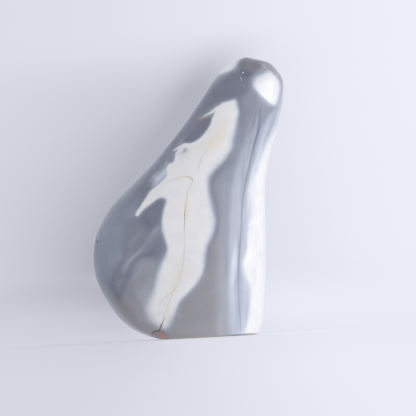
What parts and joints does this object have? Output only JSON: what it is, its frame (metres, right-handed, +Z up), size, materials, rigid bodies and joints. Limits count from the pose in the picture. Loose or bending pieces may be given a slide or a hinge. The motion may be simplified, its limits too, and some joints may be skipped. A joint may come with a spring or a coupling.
{
  "type": "agate freeform",
  "caption": "Polished grey and white agate freeform: a rounded leaning pear shape with a broad belly, slim neck and blunt head, standing on a flat sawn base.",
  "frame": {"origin": "on the sawn base plane, under the middle of the stone's bounding box", "axes": "+Z up the stone from its sawn base, +X to the right seen from the front, the side the head leans to, -Y towards the viewer of the marked front face"},
  "size_m": [0.086, 0.0478, 0.12],
  "materials": {
    "polished_agate": "polished agate, blue-grey chalcedony with opaque white areas, high gloss"
  },
  "bodies": {
    "root": {"agate_freeform": "polished_agate"}
  },
  "joints": []
}
